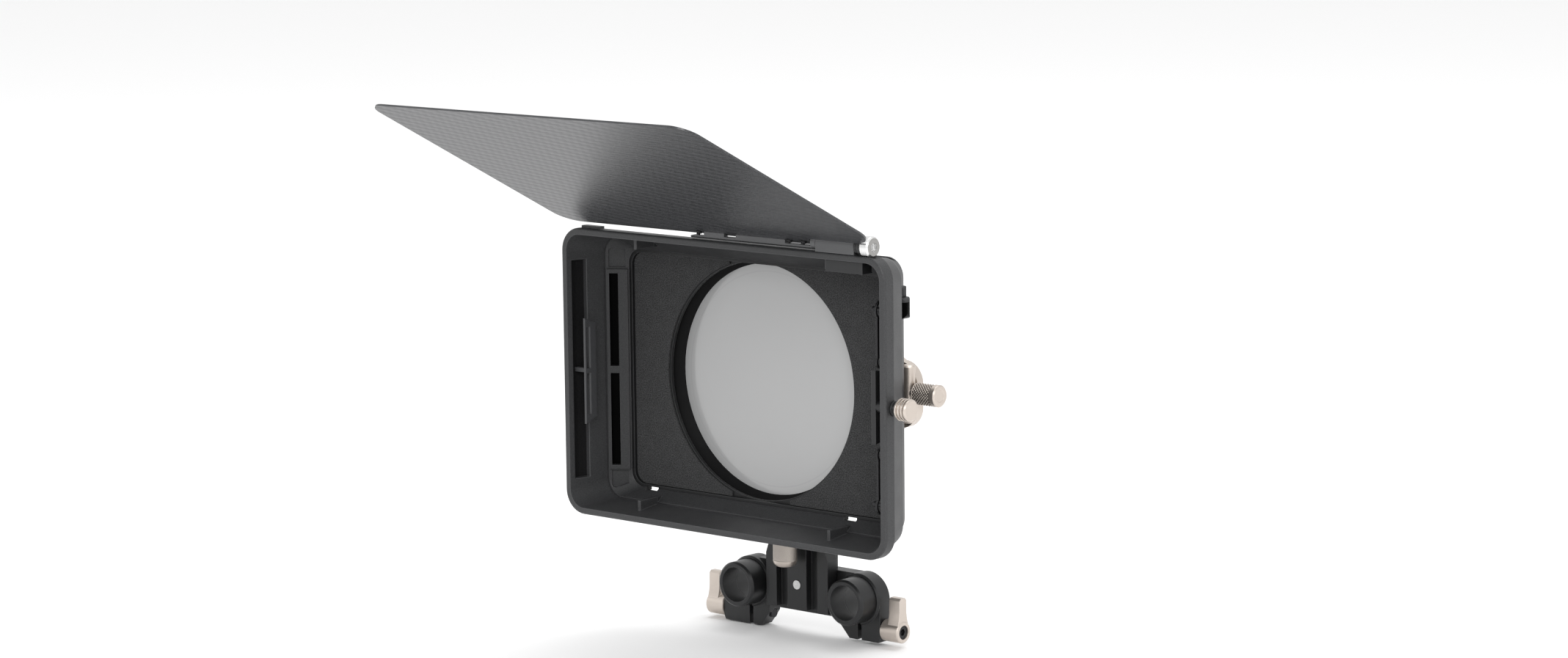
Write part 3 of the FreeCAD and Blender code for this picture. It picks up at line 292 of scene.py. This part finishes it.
# The round filter: a glass in its toothed ring, held from behind by a screwed ring; its pale grey is painted
# light from the bright surroundings.
# The rim is painted lighter as a painted highlight, and a faint darker ring inside it is a painted shadow.
GLASS_RADIUS, SHADOW_RING_RADIUS = 0.0516, 0.0455
GLASS_PAINTED_LIGHT, GLASS_RIM_HIGHLIGHT, GLASS_SHADE = (0.355, 0.356, 0.357), (0.42, 0.421, 0.422), (0.29, 0.291, 0.292)
glass = Finish("filter glass", GLASS_PAINTED_LIGHT, 0.12, Coat_Weight=0.25, Coat_Roughness=0.03)
from_axis = glass.reach((0.0, 0.0, 0.0), (1.0, 0.0, 1.0))
rim_highlight = glass.ramp(from_axis / GLASS_RADIUS, (0.95, 0.0), (0.985, 1.0))
shadow_ring = (((from_axis - SHADOW_RING_RADIUS) / 0.0004).math("ABSOLUTE") * -1.0 + 1.0).clipped()
tone = glass.mix(glass.noise(0.05), GLASS_PAINTED_LIGHT, (0.375, 0.376, 0.377))
glass.set("Base Color", glass.mix(shadow_ring * 0.35, glass.mix(rim_highlight, tone, GLASS_RIM_HIGHLIGHT), GLASS_SHADE))
glass.set("Roughness", glass.noise(0.03) * 0.05 + 0.09)
dress(glass, "filter_glass")

# Lens side: the clamp ring, the rings behind the filter and the bracket that hangs on the rods.
# All are turned or milled aluminium, blasted and anodised black.
black_metal = blasted("black anodised metal", (0.0145, 0.0148, 0.0155), (0.0250, 0.0254, 0.0265),
                      (0.075, 0.076, 0.078), 0.40, 0.35)
dress(black_metal, "glass_retainer", "lens_ring", "rod_bridge", "bracket_shoe", "bracket_column",
      "rod_bush_left", "rod_bush_right", "latch_plate", "latch_boss", "latch_bush", "clip_jaw",
      "hinge_collar")

# The light seal behind the filter and the lock screw's soft tip: matt black rubber.
# Both are pressed in their seats, and the mould leaves a fine even grain.
rubber = Finish("seal rubber", (0.012, 0.012, 0.012), 0.85, Specular_IOR_Level=0.3)
rubber.set("Base Color", rubber.mix(rubber.noise(0.003), (0.009, 0.009, 0.009), (0.018, 0.018, 0.018)))
rubber.set("Normal", rubber.relief(rubber.noise(0.0006), 0.00005, 0.5, 0.0003))
dress(rubber, "light_seal", "lock_tip")

# The hinge of the flag: a clip on the hood's lip and a bar under the sheet, milled and blasted.
# Its grey is painted lighter than the turned rings', as painted light on its broad faces.
hinge_metal_painted_light = blasted("hinge metal painted light", (0.072, 0.073, 0.075), (0.098, 0.099, 0.102), (0.18, 0.18, 0.185),
                      0.42, 0.45)
dress(hinge_metal_painted_light, "hinge_clip", "hinge_bar")

# The top flag: a sheet of carbon-fibre laminate in a glossy resin, screwed on the hinge's bar.
# Its tows lie across the sheet as fine ribs, each crossed by the next layer in a twill.
FLAG_TILT = math.radians(26.3)
TOW = 0.0015
TOW_DARK, TOW_SHEEN = (0.016, 0.0165, 0.018), (0.044, 0.045, 0.049)
carbon = Finish("carbon sheet", TOW_DARK, 0.38, Specular_IOR_Level=0.5, Coat_Weight=0.10, Coat_Roughness=0.30)
spot = carbon.place()
across = carbon.along(spot, "X")
down = carbon.along(spot, "Z") * math.sin(FLAG_TILT) - carbon.along(spot, "Y") * math.cos(FLAG_TILT)
column = (across / (2.0 * TOW)).math("FLOOR")
line = (down / TOW).math("FLOOR")
over = (column + line).math("FLOORED_MODULO", 4.0).math("LESS_THAN", 2.0)
rib = ((down / TOW).math("FRACT") * math.pi).math("SINE")
lift = ((across / (2.0 * TOW)).math("FRACT") * math.pi).math("SINE")
crown = rib * 0.7 + over * lift * 0.3
# The tows' crowns and the tows lying on top are painted lighter, as painted sheen.
carbon.set("Base Color", carbon.mix(rib * 0.75 + over * 0.25, TOW_DARK, TOW_SHEEN))
carbon.set("Roughness", over * 0.08 + 0.35)
carbon.set("Normal", carbon.relief(crown, 0.00007, 0.7))
dress(carbon, "flag_panel")

# Champagne anodised metal: the lens lock's bracket, the pull knob and the clamp levers.
# They are turned or milled, with faint tool lines, and the corners are painted lighter, as thin dye and
# painted highlight.
CHAMPAGNE, CHAMPAGNE_DEEP, CHAMPAGNE_WORN_AND_LIT = (0.61, 0.545, 0.49), (0.53, 0.470, 0.42), (0.78, 0.73, 0.68)
GROOVE_PAINTED_SHADE = (0.10, 0.088, 0.076)
TOOL_LINE = 0.00025


def champagne_metal(name, axis, groove=None):
    """Champagne metal with tool lines across one axis; a groove mask from 0 to 1 darkens it as painted shade.
    """
    finish = Finish(name, CHAMPAGNE, 0.33, 0.85)
    body = finish.mix(finish.noise(0.008, 3.0), CHAMPAGNE, CHAMPAGNE_DEEP)
    body = finish.mix(finish.wear_and_highlight(0.0003), body, CHAMPAGNE_WORN_AND_LIT)
    if groove:
        body = finish.mix(groove(finish), body, GROOVE_PAINTED_SHADE)
    finish.set("Base Color", body)
    finish.set("Roughness", finish.noise(0.003) * 0.12 + 0.28)
    lines = (finish.along(finish.place(), axis) * (math.tau / TOOL_LINE)).math("SINE") * 0.5 + 0.5
    finish.set("Normal", finish.relief(lines, 0.00001, 0.35, 0.0003))
    return finish


champagne_turned = champagne_metal("champagne metal turned", "X")
champagne_milled = champagne_metal("champagne metal milled", "Y")
dress(champagne_turned, "pull_knob")
dress(champagne_milled, "lock_bracket", "clamp_lever_left", "clamp_lever_right")

# The lens lock's knob: champagne metal turned from bar, with a coarse diamond knurl for the fingers
# and a plain chamfered end. It sits fast on the lock screw's outer end.


def ringed_piece(name, corners, around):
    """A closed skin over rings of corners that follow each other, with a flat end on the first and last."""
    levels = len(corners) // around
    faces = [(level * around + turn, level * around + (turn + 1) % around,
              (level + 1) * around + (turn + 1) % around, (level + 1) * around + turn)
             for level in range(levels - 1) for turn in range(around)]
    faces += [tuple(range(around))[::-1], tuple(range((levels - 1) * around, levels * around))]
    mesh = bpy.data.meshes.new(name)
    mesh.from_pydata(corners, [], faces)
    mesh.update()
    shape = bmesh.new()
    shape.from_mesh(mesh)
    bmesh.ops.recalc_face_normals(shape, faces=shape.faces)
    shape.to_mesh(mesh)
    shape.free()
    piece = bpy.data.objects.new(name, mesh)
    bpy.context.scene.collection.objects.link(piece)
    return piece


def turned_piece(name, place, profile, knurl):
    """A solid of rings round one axis. place(along, radius, angle) gives a point; the knurl is a band
    (start, end) with a number of ridges around, a pitch along, a depth and samples to each ridge."""
    start, end, ridges, pitch, depth, samples = knurl
    around = ridges * samples
    steps = round((end - start) / pitch * samples)
    band_radius = next(radius for along, radius in profile if along >= start)
    rings = [(along, radius, False) for along, radius in profile if along <= start]
    rings += [(start + (end - start) * step / steps, band_radius, True) for step in range(1, steps)]
    rings += [(along, radius, False) for along, radius in profile if along >= end]
    corners = []
    for number, (along, radius, knurled) in enumerate(rings):
        for turn in range(around):
            cut = 0.0
            if knurled:
                phases = (((turn + sign * number) / samples) % 1.0 for sign in (1, -1))
                cut = depth * (1.0 - min(abs(2.0 * phase - 1.0) for phase in phases))
            corners.append(place(along, radius - cut, math.tau * turn / around))
    return ringed_piece(name, corners, around)


def fit(piece, finish, body, slot, *nodes):
    """Finish a new piece, hang it on what carries it and hide the CAD nodes it stands for."""
    piece.data.materials.append(finish.material)
    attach(piece, body)
    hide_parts(*nodes)


low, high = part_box("lock_knob")
lock_inner, lock_end = low[0], high[0]
lock_y, lock_z, lock_radius = (low[1] + high[1]) / 2, (low[2] + high[2]) / 2, (high[1] - low[1]) / 2
LOCK_CHAMFER, LOCK_PLAIN, LOCK_RIDGES, LOCK_DEPTH = 0.0006, 0.0026, 22, 0.00038
lock_pitch = math.tau * lock_radius / LOCK_RIDGES
lock_profile = [
    (lock_inner, lock_radius - LOCK_CHAMFER), (lock_inner + LOCK_CHAMFER, lock_radius),
    (lock_end - LOCK_PLAIN, lock_radius), (lock_end - LOCK_CHAMFER, lock_radius),
    (lock_end, lock_radius - LOCK_CHAMFER), (lock_end, lock_radius * 0.55),
    (lock_end - LOCK_CHAMFER * 0.4, lock_radius * 0.5)]


def lock_place(along, radius, angle):
    """A point of the lock knob, which turns about a line along X."""
    return along, lock_y + radius * math.cos(angle), lock_z + radius * math.sin(angle)


# The lock knob's groove depth darkens its knurl as painted shade.
def lock_groove(finish):
    """How deep a point of the lock knob lies in a groove, from 0 to 1."""
    from_line = finish.reach((0.0, lock_y, lock_z), (0.0, 1.0, 1.0))
    band = finish.within(finish.along(finish.place(), "X"), lock_inner + LOCK_CHAMFER, lock_end - LOCK_PLAIN)
    return ((lock_radius - from_line) / LOCK_DEPTH).clipped() * band


lock_knob = turned_piece(
    "lock_knob_knurled", lock_place, lock_profile,
    (lock_inner + LOCK_CHAMFER, lock_end - LOCK_PLAIN, LOCK_RIDGES, lock_pitch, LOCK_DEPTH, 6))
knurled_lock = champagne_metal("champagne metal coarse knurl", "X", lock_groove)
fit(lock_knob, knurled_lock, "lens_lock", "champagne_metal", "lock_knob")

# The thumb knob of the rod bracket: the same metal with a fine diamond knurl and a rounded foot.
# It is turned from bar and sits fast on the thumb screw, under the foot of the column.
low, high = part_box("thumb_knob")
foot_end, foot_top = low[2], high[2]
foot_x, foot_y, foot_radius = (low[0] + high[0]) / 2, (low[1] + high[1]) / 2, (high[0] - low[0]) / 2
FOOT_ROUND, FOOT_CHAMFER, FOOT_RIDGES, FOOT_DEPTH, FOOT_ARC_STEPS = 0.0028, 0.0006, 46, 0.00020, 6
FOOT_SHADE = 0.35
foot_pitch = math.tau * foot_radius / FOOT_RIDGES
foot_profile = [
    (-foot_top, foot_radius - FOOT_CHAMFER), (-foot_top + FOOT_CHAMFER, foot_radius),
    (-foot_end - FOOT_ROUND, foot_radius)]
for step in range(1, FOOT_ARC_STEPS + 1):
    angle = math.pi / 2 * step / FOOT_ARC_STEPS
    foot_profile.append((-foot_end - FOOT_ROUND * (1.0 - math.sin(angle)),
                         foot_radius - FOOT_ROUND * (1.0 - math.cos(angle))))


def foot_place(along, radius, angle):
    """A point of the thumb knob, which turns about an upright line; along runs down."""
    return foot_x + radius * math.cos(angle), foot_y + radius * math.sin(angle), -along


# The thumb knob's groove depth darkens its knurl as painted shade.
def foot_groove(finish):
    """How deep a point of the thumb knob lies in a groove; the fine grooves are less dark."""
    from_line = finish.reach((foot_x, foot_y, 0.0), (1.0, 1.0, 0.0))
    band = finish.within(finish.along(finish.place(), "Z"), foot_end + FOOT_ROUND, foot_top - FOOT_CHAMFER)
    return ((foot_radius - from_line) / FOOT_DEPTH).clipped() * band * FOOT_SHADE


thumb_knob = turned_piece(
    "thumb_knob_knurled", foot_place, foot_profile,
    (-foot_top + FOOT_CHAMFER, -foot_end - FOOT_ROUND, FOOT_RIDGES, foot_pitch, FOOT_DEPTH, 4))
knurled_foot = champagne_metal("champagne metal fine knurl", "Z", foot_groove)
fit(thumb_knob, knurled_foot, "foot_thumb", "champagne_metal", "thumb_knob")

# Bright steel: the hinge's nut and pin, the latch's pin and spring, and the long screws.
# Turned bar, left bright. The nut's outer end is painted darker than its side, as painted shade.


def bright(name, shine, dull, end=None):
    """Bright steel; past an end along X, if one is given, its face is painted darker as painted shade."""
    finish = Finish(name, shine, 0.25, 1.0)
    body = finish.mix(finish.noise(0.004), shine, dull)
    if end:
        shaded_end = finish.along(finish.place(), "X").math("GREATER_THAN", end)
        body = finish.mix(shaded_end, body, (0.34, 0.335, 0.325))
    finish.set("Base Color", body)
    finish.set("Roughness", finish.noise(0.002) * 0.15 + 0.20)
    finish.set("Normal", finish.relief(finish.noise(0.0002), 0.00001, 0.3, 0.0003))
    return finish


steel = bright("bright steel", (0.58, 0.58, 0.575), (0.48, 0.48, 0.48))
dress(steel, "hinge_pin", "latch_pin", "lock_screw", "thumb_screw", "height_bolt")
nut_steel = bright("nut steel", (0.80, 0.80, 0.79), (0.68, 0.68, 0.68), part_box("hinge_nut")[1][0] - 0.00015)
dress(nut_steel, "hinge_nut")

# The latch's return spring: round spring wire, coiled cold on the pin. Its outer end rests on the boss,
# and its inner end is pushed out by the bush, so a real coil closes up as the knob is pulled; this coil moves
# whole with the latch.
SPRING_WIRE, SPRING_TURNS, TURN_STEPS, WIRE_SIDES = 0.0004, 5, 20, 10
low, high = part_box("latch_spring")
coil_y, coil_z, coil_radius = (low[1] + high[1]) / 2, (low[2] + high[2]) / 2, 0.0020
coil_start, coil_run = low[0] + SPRING_WIRE / 2, high[0] - low[0] - SPRING_WIRE
coil_steps = SPRING_TURNS * TURN_STEPS
rise = coil_run / (math.tau * SPRING_TURNS)
corners = []
for step in range(coil_steps + 1):
    angle = math.tau * step / TURN_STEPS
    outward = Vector((0.0, math.cos(angle), math.sin(angle)))
    middle = Vector((coil_start + rise * angle, coil_y, coil_z)) + outward * coil_radius
    tangent = Vector((rise, -math.sin(angle) * coil_radius, math.cos(angle) * coil_radius)).normalized()
    sideways = tangent.cross(outward)
    for turn in range(WIRE_SIDES):
        round_wire = math.tau * turn / WIRE_SIDES
        reach_out = outward * math.cos(round_wire) + sideways * math.sin(round_wire)
        corners.append(middle + reach_out * SPRING_WIRE / 2)
coil = ringed_piece("latch_spring_coil", corners, WIRE_SIDES)
fit(coil, steel, "pull_latch", "bright_steel", "latch_spring")
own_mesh(coil)

# Blackened steel: the small screws and nuts, the hinge's washers and the sprung strips on the right wall.
# The oxide is thin, and corners and heads are painted grey, as wear and painted highlight.
black_steel = blasted("black steel", (0.014, 0.014, 0.015), (0.026, 0.026, 0.028), (0.11, 0.11, 0.112),
                      0.36, 0.6, 0.0002)
dress(black_steel, "clamp_screw_left", "clamp_screw_right", "clip_screws", "flag_screws", "ring_screws",
      "stage_screws", "shoe_screws", "height_nut", "height_washer", "friction_washers", "spring_strips",
      "strip_posts")

# The studio: a pale plain floor that runs far back, a white surround and three soft lights.
FLOOR_HALF, FLOOR_DROP = 4.0, -0.1125
floor_mesh = bpy.data.meshes.new("floor")
floor_mesh.from_pydata([(-FLOOR_HALF, -FLOOR_HALF, FLOOR_DROP), (FLOOR_HALF, -FLOOR_HALF, FLOOR_DROP),
                        (FLOOR_HALF, FLOOR_HALF, FLOOR_DROP), (-FLOOR_HALF, FLOOR_HALF, FLOOR_DROP)],
                       [], [(0, 1, 2, 3)])
floor = bpy.data.objects.new("floor", floor_mesh)
bpy.context.scene.collection.objects.link(floor)
floor_paint = Finish("floor paint", (0.90, 0.90, 0.90), 0.9)
floor_mesh.materials.append(floor_paint.material)

world = bpy.data.worlds.new("studio")
world.use_nodes = True
world.node_tree.nodes["Background"].inputs["Color"].default_value = (1.0, 1.0, 1.0, 1.0)
world.node_tree.nodes["Background"].inputs["Strength"].default_value = 1.0
bpy.context.scene.world = world
bpy.context.scene.view_settings.view_transform = "Standard"


def lamp(name, place, aim, size, power):
    """A square soft light that faces a point."""
    light = bpy.data.lights.new(name, "AREA")
    light.energy = power
    light.shape = "SQUARE"
    light.size = size
    thing = bpy.data.objects.new(name, light)
    thing.location = place
    thing.rotation_euler = (Vector(aim) - Vector(place)).to_track_quat("-Z", "Y").to_euler()
    bpy.context.scene.collection.objects.link(thing)


lamp("key", (1.3, -1.7, 1.3), (0, 0, 0), 1.2, 27.0)
lamp("left", (-1.8, -1.0, 0.8), (0, 0, 0), 1.0, 2.5)
lamp("top", (0.0, 0.3, 2.2), (0, 0, 0), 1.6, 20.0)

# The photograph's view, worked out from the rods' spacing and the hood's straight edges.
AZIMUTH, ELEVATION, ROLL = math.radians(40.33), math.radians(8.55), math.radians(-0.59)
TARGET, DISTANCE = Vector((0.03549, -0.050, 0.02857)), 1.60504
back = Vector((math.sin(AZIMUTH) * math.cos(ELEVATION), -math.cos(AZIMUTH) * math.cos(ELEVATION),
               math.sin(ELEVATION)))
right = (-back).cross(Vector((0, 0, 1))).normalized()
up = right.cross(-back)
side = right * math.cos(ROLL) + up * math.sin(ROLL)
top = up * math.cos(ROLL) - right * math.sin(ROLL)
lens = bpy.data.cameras.new("view")
lens.lens = 91.09
lens.sensor_width = 36.0
lens.clip_end = 50.0
viewer = bpy.data.objects.new("view", lens)
facing = Matrix((side, top, back)).transposed().to_4x4()
viewer.matrix_world = Matrix.Translation(TARGET + back * DISTANCE) @ facing
bpy.context.scene.collection.objects.link(viewer)
bpy.context.scene.camera = viewer
